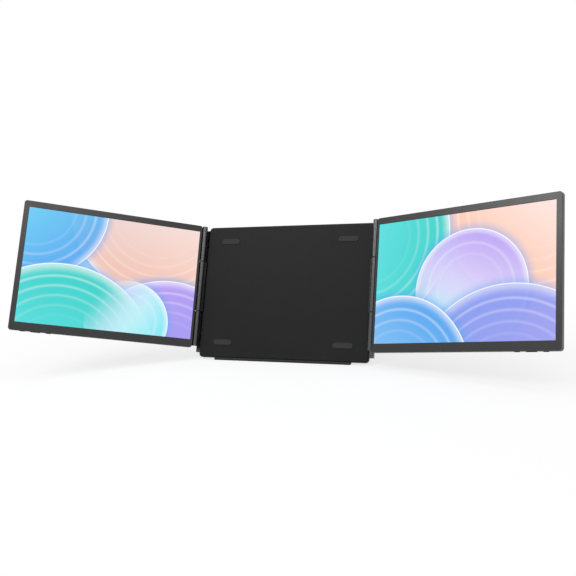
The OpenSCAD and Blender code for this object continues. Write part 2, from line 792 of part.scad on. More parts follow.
module at_bracket_screws() {
    for (s = [-1, 1], t = [-1, 1])
        translate([s * leg_hinge_x + t * leg_fixed_len / 4,
                   leg_hinge_y + bracket_reach - bracket_screw_inset,
                   leg_recess_z - bracket_plate_t]) rotate([180, 0, 0]) children();
}

module kickstand_screws() {
    color([0.25, 0.25, 0.26]) in_frame() at_bracket_screws()
        screw(screw_d, screw_head_d - 0.6, 0.5, bracket_plate_t + 1.6);
}

// ---------- the nodes ----------

at_left() bezel();  // left_bezel
at_left() display_panel();  // left_display_panel
at_left() backlight();  // left_backlight
at_left() rear_shell();  // left_rear_shell
at_left() driver_board();  // left_driver_board
at_left() sockets();  // left_sockets
at_left() switch_board();  // left_switch_board
at_left() push_button(power_x);  // left_power_button
at_left() push_button(menu_x);  // left_menu_button
at_left() rocker();  // left_rocker
at_left() rocker_pin();  // left_rocker_pin
at_left() barrel(upper_barrel_y, upper_barrel_len);  // left_upper_barrel
at_left() barrel(lower_barrel_y, lower_barrel_len);  // left_lower_barrel
at_left() barrel_caps();  // left_barrel_caps
at_left() shell_screws();  // left_shell_screws
frame_left() knuckle(left_axis_z);  // left_knuckle
frame_left() hinge_shaft(left_axis_z);  // left_hinge_shaft
frame_left() friction_washers(left_axis_z);  // left_friction_washers
at_right() bezel();  // right_bezel
at_right() display_panel();  // right_display_panel
at_right() backlight();  // right_backlight
at_right() rear_shell();  // right_rear_shell
at_right() driver_board();  // right_driver_board
at_right() sockets();  // right_sockets
at_right() switch_board();  // right_switch_board
at_right() push_button(power_x);  // right_power_button
at_right() push_button(menu_x);  // right_menu_button
at_right() rocker();  // right_rocker
at_right() rocker_pin();  // right_rocker_pin
at_right() barrel(upper_barrel_y, upper_barrel_len);  // right_upper_barrel
at_right() barrel(lower_barrel_y, lower_barrel_len);  // right_lower_barrel
at_right() barrel_caps();  // right_barrel_caps
at_right() shell_screws();  // right_shell_screws
in_frame() knuckle(right_axis_z);  // right_knuckle
in_frame() hinge_shaft(right_axis_z);  // right_hinge_shaft
in_frame() friction_washers(right_axis_z);  // right_friction_washers
frame_front();
frame_stiffener();
frame_rear();
frame_screws();
knuckle_screws();
lid_pads();
frame_foot();
kickstand_leg();
kickstand_foot();
kickstand_pins();
kickstand_brackets();
kickstand_screws();
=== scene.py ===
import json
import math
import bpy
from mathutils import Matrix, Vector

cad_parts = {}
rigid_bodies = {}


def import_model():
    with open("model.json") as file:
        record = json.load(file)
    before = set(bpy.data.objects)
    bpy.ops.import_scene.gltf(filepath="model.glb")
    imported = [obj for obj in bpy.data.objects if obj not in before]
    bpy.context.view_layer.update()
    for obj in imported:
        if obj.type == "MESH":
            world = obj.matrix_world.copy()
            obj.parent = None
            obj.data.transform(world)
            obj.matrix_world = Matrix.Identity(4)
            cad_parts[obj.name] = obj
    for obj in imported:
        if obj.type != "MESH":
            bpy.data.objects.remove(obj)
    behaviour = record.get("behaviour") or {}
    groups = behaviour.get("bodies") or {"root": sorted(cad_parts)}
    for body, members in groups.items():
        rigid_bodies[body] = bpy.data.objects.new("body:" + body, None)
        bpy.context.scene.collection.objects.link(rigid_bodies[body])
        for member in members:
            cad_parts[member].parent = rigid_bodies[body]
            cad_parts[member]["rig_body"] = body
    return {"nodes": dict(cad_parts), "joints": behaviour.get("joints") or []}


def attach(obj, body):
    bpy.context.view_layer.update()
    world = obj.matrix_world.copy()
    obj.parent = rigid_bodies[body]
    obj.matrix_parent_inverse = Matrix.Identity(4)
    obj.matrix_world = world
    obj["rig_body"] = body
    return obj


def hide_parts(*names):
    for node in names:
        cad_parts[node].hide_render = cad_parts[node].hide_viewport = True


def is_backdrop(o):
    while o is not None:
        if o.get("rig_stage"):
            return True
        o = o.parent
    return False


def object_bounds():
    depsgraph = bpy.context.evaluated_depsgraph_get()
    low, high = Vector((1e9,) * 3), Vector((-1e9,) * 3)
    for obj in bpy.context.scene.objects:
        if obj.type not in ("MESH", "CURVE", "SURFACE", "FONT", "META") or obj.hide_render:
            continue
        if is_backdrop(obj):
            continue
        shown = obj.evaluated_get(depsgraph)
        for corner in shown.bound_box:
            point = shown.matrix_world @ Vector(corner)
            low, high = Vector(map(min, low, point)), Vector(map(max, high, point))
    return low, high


bl_info = {
    "name": "Laptop Screen Extender",
    "version": (1, 0, 0),
    "blender": (4, 5, 0),
    "location": "View3D > Sidebar > Extender",
    "description": "Finishes a screen extender: housings, hinges, lit displays and a studio",
    "category": "Object",
}

import bmesh
import bpy
from bpy.props import FloatProperty, FloatVectorProperty, PointerProperty
from mathutils import Matrix, Vector

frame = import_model()

SIDES = ("left", "right")
MM = 0.001

# Rounding of the copies of the frame's nodes
MERGE_DISTANCE = 0.001 * MM
CUT_DISTANCE = 0.1 * MERGE_DISTANCE
FLAT_ANGLE = math.radians(0.5)
EDGE_ANGLE = math.radians(28)
SHARP_ANGLE = math.radians(50)
EDGE_SEGMENTS = 3

# Screws. Shares are of the head's radius, and the recess's depth is one of the head's height.
HEAD_HEIGHT = 0.9 * MM
HEAD_SIDES = 32
HEAD_ROUNDING_SHARE = 0.12
SHANK_SHARE = 0.5
ARM_SHARE = 0.62
ARM_HALF_WIDTH_SHARE = 0.15
RECESS_DEPTH_SHARE = 0.5
RECESS_TAPER = 0.75

# Materials: sizes that draw their grain out along one direction, and colours that no setting holds
RING_STRETCH = (1, 0.004, 1)
LINE_STRETCH = (1, 60, 1)
TINNED_PAD = (0.62, 0.60, 0.55)
FILM_GREYS = ((0.004, 0.004, 0.005), (0.012, 0.012, 0.014))
FLOOR_GREYS = ((0.93, 0.93, 0.93), (0.96, 0.96, 0.96))
SHADER_SOCKETS = {"specular": "Specular IOR Level"}

# Displays: the border of a panel that stays dark, the black edge round its picture, and the share
# of that edge from which the picture begins to show
PANEL_BORDER = 1.8 * MM
BLACK_EDGE = 0.5 * MM
EDGE_SOFT_FROM = 0.8

# The picture's ground. Lengths are shares of the display's height, as in all of the picture.
GROUND_MIDDLE = (0.75, 0.5)
GROUND_REACH = 0.75
GROUND_FADE = (0.1, 0.9)

# The picture's discs. FADE_END is a share of the way across a disc, and BLOOM_FROM and RIPPLE_FROM
# are shares of its radius.
RIM_WIDTH = 0.006
RIM_CORE = 0.3 * RIM_WIDTH
SHADE_WIDTH = 0.10
SHADE_STRENGTH = 0.5
FADE_END = 0.62
BLOOM_FROM = 0.86
RIPPLE_FROM = 0.35
BLOOM_STRENGTH = 0.5
RIPPLE_STEP = 0.085
RIPPLE_SHARPNESS = 6
RIPPLE_STRENGTH = 0.34

# Lamps: where they stand, and their width and height
KEY_PLACE, KEY_SIZE = Vector((-0.64, -0.98, 1.34)), (0.8, 0.7)
FILL_PLACE, FILL_SIZE = Vector((0.66, -1.20, 1.28)), (0.7, 0.6)
TOP_PLACE, TOP_SIZE = Vector((0.1, 0.2, 1.7)), (1.8, 1.4)

# Width of the camera's sensor in millimetres
SENSOR_WIDTH = 36

# Floor: how far from the frame's middle its white glow begins to grow, where it is full, and its
# least share
GLOW_START = 0.25
GLOW_FULL = 0.85
GLOW_LEAST = 0.7
FLOOR_SIZE = 6.0


# ---------- settings ----------


class ExtenderEdges(bpy.types.PropertyGroup):
    """Radii that the edges of the pieces are rounded to."""

    plastic: FloatProperty(
        name="Plastic edges",
        description="Radius of the moulded parts' edges",
        default=0.3 * MM,
        min=0,
        unit="LENGTH",
    )
    metal: FloatProperty(
        name="Metal edges",
        description="Radius of the hinges' and the kickstand's edges",
        default=0.2 * MM,
        min=0,
        unit="LENGTH",
    )
    rubber: FloatProperty(
        name="Rubber edges",
        description="Radius of the pads' and feet's edges",
        default=0.4 * MM,
        min=0,
        unit="LENGTH",
    )


def colour_setting(name, description, colour):
    """A colour that a user may change."""
    return FloatVectorProperty(
        name=name, description=description, default=colour, subtype="COLOR", min=0, max=1
    )


class ExtenderFinishes(bpy.types.PropertyGroup):
    """Colours of the extender's own finishes."""

    housing: colour_setting("Housing", "Moulded bezels and rear shells", (0.010, 0.010, 0.010))
    hinge: colour_setting("Hinges", "Anodised barrels and knuckles", (0.08, 0.08, 0.081))
    body: colour_setting("Centre frame", "Moulded covers of the frame", (0.008, 0.008, 0.008))
    leg: colour_setting("Kickstand", "Powder coat of the leg", (0.016, 0.016, 0.018))
    rubber: colour_setting("Rubber", "Pads and feet", (0.012, 0.012, 0.012))
    button: colour_setting("Buttons", "Caps of the buttons and the rockers", (0.018, 0.018, 0.019))
    steel: colour_setting("Steel", "Bare pins, shafts and sockets", (0.52, 0.53, 0.55))
    screw: colour_setting("Screws", "Blackened screws", (0.075, 0.075, 0.08))
    washer: colour_setting("Washers", "Blued friction washers", (0.03, 0.03, 0.035))
    board: colour_setting("Boards", "Solder mask of the boards", (0.008, 0.085, 0.032))
    tray: colour_setting("Backlight tray", "Anodised sheet behind the light", (0.05, 0.05, 0.052))


class ExtenderPicture(bpy.types.PropertyGroup):
    """Colours of the overlapping discs that the displays show."""

    sky: colour_setting("Sky", "Pale blue", (0.36, 0.68, 0.93))
    azure: colour_setting("Azure", "Deep blue", (0.07, 0.36, 0.85))
    teal: colour_setting("Teal", "Turquoise", (0.02, 0.62, 0.56))
    aqua: colour_setting("Aqua", "Light cyan", (0.18, 0.82, 0.90))
    lilac: colour_setting("Lilac", "Violet", (0.46, 0.32, 0.90))
    periwinkle: colour_setting("Periwinkle", "Blue violet", (0.20, 0.28, 0.84))
    peach: colour_setting("Peach", "Orange pink", (0.97, 0.48, 0.30))
    cream: colour_setting("Cream", "Warm white", (0.99, 0.86, 0.72))
    white: colour_setting("White", "Lit rims", (1.0, 1.0, 1.0))


class ExtenderStudio(bpy.types.PropertyGroup):
    """Camera and lamps."""

    camera_place: FloatVectorProperty(
        name="Camera place",
        description="Where the camera stands",
        default=(0.470, -1.118, 0.303),
        subtype="TRANSLATION",
        unit="LENGTH",
    )
    camera_heading: FloatProperty(
        name="Camera heading",
        description="Turn of the camera about the upright",
        default=math.radians(21.9),
        subtype="ANGLE",
    )
    camera_tilt: FloatProperty(
        name="Camera tilt",
        description="How far the camera looks down",
        default=math.radians(8.5),
        subtype="ANGLE",
    )
    camera_roll: FloatProperty(
        name="Camera roll",
        description="Turn of the camera about its line of sight",
        default=math.radians(-3.4),
        subtype="ANGLE",
    )
    camera_lens: FloatProperty(
        name="Lens",
        description="Focal length in millimetres on a 36 mm frame",
        default=47.25,
        min=10,
    )
    key_power: FloatProperty(
        name="Key lamp",
        description="Power of the high lamp at the front left",
        default=9,
        min=0,
        unit="POWER",
    )
    fill_power: FloatProperty(
        name="Fill lamp",
        description="Power of the high lamp at the front right",
        default=3.6,
        min=0,
        unit="POWER",
    )
    top_power: FloatProperty(
        name="Top lamp",
        description="Power of the lamp overhead",
        default=10,
        min=0,
        unit="POWER",
    )
    room_light: FloatProperty(
        name="Room light",
        description="Strength of the even light from all round",
        default=0.5,
        min=0,
    )


# ---------- places, worked out from the frame ----------


def joint(name):
    """The frame's own entry for a joint."""
    return next(entry for entry in frame["joints"] if entry["name"] == name)


def upward(side):
    """Direction of a display's hinge, towards its top."""
    axis = Vector(joint(f"{side}_display_hinge")["axis"])
    return axis if axis.z > 0 else -axis


def standing_place(node, side, origin):
    """Place with X to the user's right along a flat node, Y up the hinge and Z out to the user."""
    up = upward(side)
    largest = max(frame["nodes"][node].data.polygons, key=lambda face: face.area)
    out = largest.normal if largest.normal.y < 0 else -largest.normal
    right = up.cross(out).normalized()
    turn = Matrix((right, up, right.cross(up))).transposed().to_4x4()
    return Matrix.Translation(origin) @ turn


def display_place(side):
    """Place of a display, with its hinge's middle as the origin."""
    origin = Vector(joint(f"{side}_display_hinge")["pos_m"])
    return standing_place(f"{side}_display_panel", side, origin)


def frame_place():
    """Place of the centre frame, with the middle of its lower edge as the origin."""
    return standing_place("frame_front", "left", Vector((0, 0, 0)))


def box_in(place, corners):
    """Lowest and highest corner of some points, in a place's own directions."""
    into = place.inverted()
    points = [into @ corner for corner in corners]
    low = Vector([min(point[axis] for point in points) for axis in range(3)])
    high = Vector([max(point[axis] for point in points) for axis in range(3)])
    return low, high


def node_box(node, place):
    """Lowest and highest corner of a node, in a place's own directions."""
    return box_in(place, [corner.co for corner in frame["nodes"][node].data.vertices])


# ---------- making pieces ----------


def merged_copy(node):
    """A node's mesh with its loose triangles joined into flat faces."""
    mesh = bmesh.new()
    mesh.from_mesh(frame["nodes"][node].data)
    bmesh.ops.remove_doubles(mesh, verts=mesh.verts, dist=MERGE_DISTANCE)
    bmesh.ops.dissolve_limit(
        mesh,
        angle_limit=FLAT_ANGLE,
        verts=mesh.verts,
        edges=mesh.edges,
        use_dissolve_boundaries=False,
    )
    return mesh


def round_edges(mesh, edges, radius):
    """Rounds some edges of a mesh."""
    bmesh.ops.bevel(
        mesh,
        geom=edges,
        offset=radius,
        offset_type="OFFSET",
        segments=EDGE_SEGMENTS,
        profile=0.5,
        affect="EDGES",
        clamp_overlap=True,
        material=-1,
    )


def sharp_edges(mesh):
    """Edges at which the surface turns sharply."""
    closed = [edge for edge in mesh.edges if edge.is_manifold]
    return [edge for edge in closed if edge.calc_face_angle() > EDGE_ANGLE]


def stand_in(node, mesh, paint):
    """Puts a finished mesh in a node's place, on the node's body and in its material slot."""
    data = bpy.data.meshes.new(f"{node}_made")
    mesh.to_mesh(data)
    mesh.free()
    data.polygons.foreach_set("use_smooth", [True] * len(data.polygons))
    data.set_sharp_from_angle(angle=SHARP_ANGLE)
    data.materials.append(paint.material)
    piece = bpy.data.objects.new(f"{node}_made", data)
    bpy.context.scene.collection.objects.link(piece)
    shading = piece.modifiers.new("even shading", "WEIGHTED_NORMAL")
    shading.keep_sharp = True
    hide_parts(node)
    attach(piece, frame["nodes"][node]["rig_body"])


def rounded(node, radius, paint):
    """Puts a copy of a node with its edges rounded in the node's place."""
    mesh = merged_copy(node)
    round_edges(mesh, sharp_edges(mesh), radius)
    stand_in(node, mesh, paint)


def painted(node, paint):
    """Gives a node that stays as it is its finish."""
    for slot in frame["nodes"][node].material_slots:
        slot.material = paint.material


def islands(mesh):
    """Separate solids of a mesh, each as the list of its corners."""
    seen = set()
    for start in mesh.verts:
        if start in seen:
            continue
        seen.add(start)
        found = [start]
        for corner in found:
            beside = [edge.other_vert(corner) for edge in corner.link_edges]
            new = [other for other in beside if other not in seen]
            seen.update(new)
            found.extend(new)
        yield found


def cross_screw(head_radius, length):
    """Mesh of a screw with a cross recess, its head's top at Z = 0 and its shank down."""
    arm = ARM_SHARE * head_radius
    half_width = ARM_HALF_WIDTH_SHARE * head_radius
    depth = RECESS_DEPTH_SHARE * HEAD_HEIGHT
    mesh = bmesh.new()
    bmesh.ops.create_cone(
        mesh,
        cap_ends=True,
        segments=HEAD_SIDES,
        radius1=head_radius,
        radius2=head_radius,
        depth=HEAD_HEIGHT,
        matrix=Matrix.Translation((0, 0, -HEAD_HEIGHT / 2)),
    )
    rim = [edge for edge in mesh.edges if all(on_top(corner) for corner in edge.verts)]
    round_edges(mesh, rim, HEAD_ROUNDING_SHARE * head_radius)
    for direction in (Vector((1, 0, 0)), Vector((0, 1, 0))):
        for distance in (-arm, -half_width, half_width, arm):
            cap = top_faces(mesh)
            edges = dict.fromkeys(edge for face in cap for edge in face.edges)
            corners = dict.fromkeys(corner for face in cap for corner in face.verts)
            bmesh.ops.bisect_plane(
                mesh,
                geom=[*cap, *edges, *corners],
                dist=CUT_DISTANCE,
                plane_co=direction * distance,
                plane_no=direction,
            )
    cap = top_faces(mesh)
    recess = [face for face in cap if in_cross(face.calc_center_median(), arm, half_width)]
    sunk = bmesh.ops.extrude_face_region(mesh, geom=recess)["geom"]
    bmesh.ops.delete(mesh, geom=recess, context="FACES")
    floor = [item for item in sunk if isinstance(item, bmesh.types.BMVert)]
    bmesh.ops.scale(mesh, vec=(RECESS_TAPER, RECESS_TAPER, 1), verts=floor)
    bmesh.ops.translate(mesh, vec=(0, 0, -depth), verts=floor)
    shank = length - HEAD_HEIGHT
    bmesh.ops.create_cone(
        mesh,
        cap_ends=True,
        segments=HEAD_SIDES // 2,
        radius1=SHANK_SHARE * head_radius,
        radius2=SHANK_SHARE * head_radius,
        depth=shank,
        matrix=Matrix.Translation((0, 0, -HEAD_HEIGHT - shank / 2)),
    )
    return mesh


def on_top(corner):
    """True for a corner in the plane of a screw head's top."""
    return abs(corner.co.z) < MERGE_DISTANCE


def top_faces(mesh):
    """Faces of a screw head's flat top."""
    return [face for face in mesh.faces if all(on_top(corner) for corner in face.verts)]


def in_cross(point, arm, half_width):
    """True inside a cross with arms along X and Y."""
    across, along = abs(point.x), abs(point.y)
    return min(across, along) < half_width and max(across, along) < arm


def cross_screws(node, places, paint):
    """Puts screws with cross recesses in the place of a node's plain ones. Each place has its Z
    out of a head, and takes the screws whose middle lies on that side of it."""
    plain = merged_copy(node)
    made = bmesh.new()
    single = bpy.data.meshes.new("single_screw")
    for found in islands(plain):
        corners = [corner.co for corner in found]
        middle = sum(corners, Vector()) / len(corners)
        facing = [option for option in places if (option.inverted() @ middle).z > 0]
        place = (facing or places)[0]
        low, high = box_in(place, corners)
        screw = cross_screw((high.x - low.x) / 2, high.z - low.z)
        screw.to_mesh(single)
        screw.free()
        before = len(made.verts)
        made.from_mesh(single)
        made.verts.ensure_lookup_table()
        top = Vector(((low.x + high.x) / 2, (low.y + high.y) / 2, high.z))
        lift = Matrix.Translation(top)
        bmesh.ops.transform(made, matrix=place @ lift, verts=made.verts[before:])
    bpy.data.meshes.remove(single)
    plain.free()
    stand_in(node, made, paint)


# ---------- materials ----------


def find_socket(sockets, key):
    """A node's socket by number, identifier or name."""
    if isinstance(key, int):
        return sockets[key]
    return next((socket for socket in sockets if socket.identifier == key), None) or sockets[key]


class Value:
    """A number that changes over a surface, for sums written in Python."""

    def __init__(self, web, socket):
        self.web = web
        self.socket = socket

    def math(self, operation, *values, clamp=False):
        settings = {"operation": operation, "use_clamp": clamp}
        return self.web.node("ShaderNodeMath", settings, dict(enumerate(values)))

    def output(self, key):
        """Another output of the same node."""
        return Value(self.web, find_socket(self.socket.node.outputs, key))

    def __add__(self, other):
        return self.math("ADD", self, other)

    def __sub__(self, other):
        return self.math("SUBTRACT", self, other)

    def __rsub__(self, other):
        return self.math("SUBTRACT", other, self)

    def __mul__(self, other):
        return self.math("MULTIPLY", self, other)

    def __truediv__(self, other):
        return self.math("DIVIDE", self, other)

    def __pow__(self, other):
        return self.math("POWER", self, other)

    def __abs__(self):
        return self.math("ABSOLUTE", self)

    __radd__ = __add__
    __rmul__ = __mul__

    def sine(self):
        return self.math("SINE", self)

    def clamped(self):
        return self.math("ADD", self, 0, clamp=True)

    def larger(self, other):
        return self.math("MAXIMUM", self, other)

    def swing(self, spread):
        """A share from 0 to 1 as a change to both sides of zero, that wide in all."""
        return (self - 0.5) * spread

    def smooth(self, low, high):
        """0 up to low, 1 from high on, and a smooth rise between them."""
        settings = {"interpolation_type": "SMOOTHSTEP", "clamp": True}
        ends = {"Value": self, "From Min": low, "From Max": high}
        return self.web.node("ShaderNodeMapRange", settings, ends)


class Web:
    """The nodes of a material or of the world."""

    def __init__(self, owner):
        owner.use_nodes = True
        self.tree = owner.node_tree

    def ready(self, kind):
        """The node of a kind that is there from the start."""
        return next(node for node in self.tree.nodes if node.type == kind)

    def node(self, kind, settings=None, sockets=None, output=0):
        """Adds a node: its settings first, then the values or links of its sockets."""
        made = self.tree.nodes.new(kind)
        for name, setting in (settings or {}).items():
            setattr(made, name, setting)
        for key, given in (sockets or {}).items():
            self.fill(find_socket(made.inputs, key), given)
        return Value(self, find_socket(made.outputs, output))

    def fill(self, socket, given):
        """Links a socket to a value, or sets it to a number, vector or colour."""
        if isinstance(given, Value):
            self.tree.links.new(given.socket, socket)
        else:
            socket.default_value = given

    def backdrop(self):
        """1 for what the camera sees, also in metal and through glass, and 0 for other light."""
        path = self.node("ShaderNodeLightPath", output="Is Camera Ray")
        return path.larger(path.output("Is Glossy Ray")).larger(path.output("Is Transmission Ray"))


class Paint(Web):
    """A material under construction."""

    def __init__(self, name):
        self.material = bpy.data.materials.new(name)
        super().__init__(self.material)
        self.shader = self.ready("BSDF_PRINCIPLED")

    def surface(self, **sockets):
        """Fills sockets of the material's shader, such as base_color."""
        for name, given in sockets.items():
            label = SHADER_SOCKETS.get(name, name.replace("_", " ").title())
            self.fill(self.shader.inputs[label], given)

    def position(self):
        """Object coordinates."""
        return self.node("ShaderNodeTexCoord", output="Object")

    def position_in(self, place, size=(1, 1, 1)):
        """Coordinates in a place's own directions, in units of size."""
        sockets = {
            "Vector": self.position(),
            "Location": place.translation,
            "Rotation": place.to_euler(),
            "Scale": size,
        }
        return self.node("ShaderNodeMapping", {"vector_type": "TEXTURE"}, sockets)

    def noise(self, position, grain, detail=2.0, roughness=0.5):
        """Noise from 0 to 1 whose grains are about that many metres across."""
        sockets = {
            "Vector": position,
            "Scale": 1 / grain,
            "Detail": detail,
            "Roughness": roughness,
        }
        return self.node("ShaderNodeTexNoise", {"noise_dimensions": "3D"}, sockets)

    def cells(self, position, grain):
        """Distance from the middle of cells of about that many metres, from 0 to about 1."""
        sockets = {"Vector": position, "Scale": 1 / grain}
        return self.node("ShaderNodeTexVoronoi", {"feature": "F1"}, sockets)

    def mixed(self, share, first, second):
        """A colour between two, by a share from 0 to 1."""
        sockets = {"Factor_Float": share, "A_Color": opaque(first), "B_Color": opaque(second)}
        return self.node("ShaderNodeMix", {"data_type": "RGBA"}, sockets, output="Result_Color")

    def tones(self, share, colour, dark, light):
        """A colour that varies by a share from 0 to 1 between two factors of its lightness."""
        return self.mixed(share, toned(colour, dark), toned(colour, light))

    def bump(self, height, depth, strength=1.0):
        """Normals of a surface raised by a height from 0 to 1 times a depth in metres."""
        sockets = {"Height": height, "Distance": depth, "Strength": strength}
        return self.node("ShaderNodeBump", {}, sockets, output="Normal")


def opaque(colour):
    """A colour setting as a node takes it. A value stays as it is."""
    return colour if isinstance(colour, Value) else (*colour[:3], 1)


def toned(colour, factor):
    """A colour made lighter or darker."""
    return [min(1, part * factor) for part in colour[:3]]


def moulded_plastic(name, colour, roughness, specular=0.25):
    """Spark-eroded plastic: a fine even grain, with faint clouds in its tone and gloss."""
    paint = Paint(name)
    position = paint.position()
    grain = paint.noise(position, 0.45 * MM, detail=1)
    clouds = paint.noise(position, 45 * MM, detail=3)
    paint.surface(
        base_color=paint.tones((clouds * 0.7 + grain * 0.3).smooth(0.3, 0.7), colour, 0.84, 1.16),
        roughness=roughness + clouds.swing(0.10) + grain.swing(0.12),
        specular=specular,
        normal=paint.bump(grain, 0.004 * MM),
    )
    return paint


def anodised_metal(name, colour, place):
    """Turned and anodised aluminium: fine rings round the hinge and a soft satin gloss."""
    paint = Paint(name)
    rings = paint.noise(paint.position_in(place, RING_STRETCH), 12 * MM, detail=4, roughness=0.7)
    clouds = paint.noise(paint.position(), 20 * MM)
    paint.surface(
        metallic=1,
        base_color=paint.tones(rings, colour, 0.75, 1.3),
        roughness=0.24 + rings.swing(0.14) + clouds.swing(0.06),
        normal=paint.bump(rings, 0.006 * MM),
    )
    return paint


def drawn_steel(name, colour, place, roughness):
    """Steel with fine lines along its length."""
    paint = Paint(name)
    lines = paint.noise(paint.position_in(place, LINE_STRETCH), 0.15 * MM, detail=3)
    clouds = paint.noise(paint.position(), 9 * MM)
    paint.surface(
        metallic=1,
        base_color=paint.tones(clouds, colour, 0.85, 1.12),
        roughness=roughness + lines.swing(0.16),
        normal=paint.bump(lines, 0.004 * MM),
    )
    return paint


def powder_coat(name, colour):
    """Powder-coated metal, with the coat's shallow orange peel."""
    paint = Paint(name)
    position = paint.position()
    peel = paint.noise(position, 0.9 * MM, detail=1)
    specks = paint.noise(position, 0.2 * MM, detail=1)
    clouds = paint.noise(position, 30 * MM)
    paint.surface(
        base_color=paint.tones(clouds, colour, 0.85, 1.2),
        roughness=0.42 + specks.swing(0.15) + clouds.swing(0.06),
        normal=paint.bump(peel * 0.7 + specks * 0.3, 0.02 * MM),
    )
    return paint


def soft_rubber(name, colour):
    """Matt rubber with a fine pebbled skin."""
    paint = Paint(name)
    position = paint.position()
    pebbles = paint.cells(position, 0.45 * MM)
    dust = paint.noise(position, 3 * MM, detail=4, roughness=0.65)
    paint.surface(
        base_color=paint.tones(dust.smooth(0.4, 0.8), colour, 1, 1.9),
        roughness=0.78 + dust.swing(0.15),
        normal=paint.bump(pebbles, 0.05 * MM, strength=0.6),
    )
    return paint


def circuit_board(name, colour):
    """Green solder mask over copper tracks."""
    paint = Paint(name)
    position = paint.position()
    tracks = paint.cells(position, 2.4 * MM).smooth(0.30, 0.34)
    pads = paint.cells(position, 5 * MM).smooth(0.06, 0.10)
    mask = paint.tones(tracks, colour, 1.9, 1)
    paint.surface(
        base_color=paint.mixed(pads, TINNED_PAD, mask),
        roughness=0.35 + tracks * 0.15,
        normal=paint.bump(tracks, -0.03 * MM),
    )
    return paint


def pressed_sheet(name, colour):
    """Thin aluminium sheet with the faint mottling of its rolling."""
    paint = Paint(name)
    position = paint.position()
    mottle = paint.noise(position, 6 * MM, detail=4, roughness=0.6)
    scratches = paint.noise(position, 0.4 * MM, detail=2)
    paint.surface(
        metallic=1,
        base_color=paint.tones(mottle, colour, 0.88, 1.1),
        roughness=0.46 + mottle.swing(0.14) + scratches.swing(0.10),
        normal=paint.bump(scratches, 0.003 * MM),
    )
    return paint


# ---------- the displays' picture ----------


class Picture:
    """Overlapping discs of colour, painted from the back to the front. Lengths are shares of the
    display's height, with X from 0 at its left edge and Y from 0 at its lower edge."""

    def __init__(self, paint, place, height, hues):
        self.paint = paint
        self.hues = hues
        position = paint.position_in(place, (height, height, height))
        self.x = paint.node("ShaderNodeSeparateXYZ", {}, {"Vector": position})
        self.y = self.x.output("Y")
        self.colour = None

    def ground(self, heading, first, second):
        """An even change of colour over the whole display."""
        share = self.along(heading, *GROUND_MIDDLE, GROUND_REACH)
        self.colour = self.paint.mixed(share.smooth(*GROUND_FADE), first, second)

    def cover(self, share, colour):
        """A coat of colour over what is painted so far, as thick as a share from 0 to 1."""
        self.colour = self.paint.mixed(share, self.colour, colour)

    def along(self, heading, x, y, reach):
        """Share from 0 to 1 of the way across a circle, in a direction in degrees."""
        turn = math.radians(heading)
        way = (self.x - x) * math.cos(turn) + (self.y - y) * math.sin(turn)
        return (way / (2 * reach) + 0.5).clamped()

    def disc(self, x, y, radius, heading, near, far, strength):
        """A disc that is full at its near side and fades away in a direction, with a lit rim,
        ripples inside and a soft shade round it."""
        share = self.along(heading, x, y, radius)
        distance = ((self.x - x) ** 2 + (self.y - y) ** 2) ** 0.5
        shown = (1 - share).smooth(0.0, FADE_END) * strength
        shade = (1 - distance.smooth(radius, radius + SHADE_WIDTH)) ** 2
        self.cover(shade * shown * SHADE_STRENGTH, self.hues.azure)
        inside = 1 - distance.smooth(radius - RIM_WIDTH / 2, radius)
        self.cover(inside * shown, self.paint.mixed(share, near, far))
        bloom = distance.smooth(radius * BLOOM_FROM, radius) ** 2 * inside * BLOOM_STRENGTH
        rim = 1 - abs(distance - radius).smooth(RIM_CORE, RIM_WIDTH)
        wave = ((radius - distance) * (2 * math.pi / RIPPLE_STEP)).sine() * 0.5 + 0.5
        outward = distance.smooth(radius * RIPPLE_FROM, radius)
        ripples = wave ** RIPPLE_SHARPNESS * inside * outward * RIPPLE_STRENGTH
        self.cover(bloom.larger(rim).larger(ripples) * shown, self.hues.white)


def lit_display(name, painter, place, low, high, hues):
    """Material of a lit display: the picture glows within a thin black edge, under a matt film."""
    paint = Paint(name)
    corner = Vector((low.x + PANEL_BORDER, low.y + PANEL_BORDER, high.z))
    width = high.x - low.x - 2 * PANEL_BORDER
    height = high.y - low.y - 2 * PANEL_BORDER
    picture = Picture(paint, place @ Matrix.Translation(corner), height, hues)
    painter(picture, hues)
    edge = BLACK_EDGE / height
    lit = 1
    for margin in (picture.x, width / height - picture.x, picture.y, 1 - picture.y):
        lit = lit * margin.smooth(edge * EDGE_SOFT_FROM, edge)
    film = paint.noise(paint.position(), 0.25 * MM, detail=1)
    paint.surface(
        specular=0.2,
        base_color=paint.mixed(film, *FILM_GREYS),
        roughness=0.34 + film.swing(0.08),
        emission_color=paint.mixed(lit, (0, 0, 0), picture.colour),
        emission_strength=1.0,
        normal=paint.bump(film, 0.001 * MM),
    )
    return paint


def left_picture(picture, hues):
    """Large discs: a blue and a warm one from the upper edge, and three others from the lower."""
    picture.ground(-30, hues.sky, hues.cream)
    picture.disc(1.12, 1.12, 0.78, 75, hues.peach, hues.white, 0.8)
    picture.disc(0.05, 1.02, 0.62, 130, hues.azure, hues.aqua, 0.9)
    picture.disc(1.30, -0.24, 0.74, -75, hues.lilac, hues.periwinkle, 0.95)
    picture.disc(0.36, -0.30, 0.84, -105, hues.teal, hues.aqua, 1.0)
    picture.disc(0.92, 0.10, 0.36, 150, hues.aqua, hues.white, 0.9)


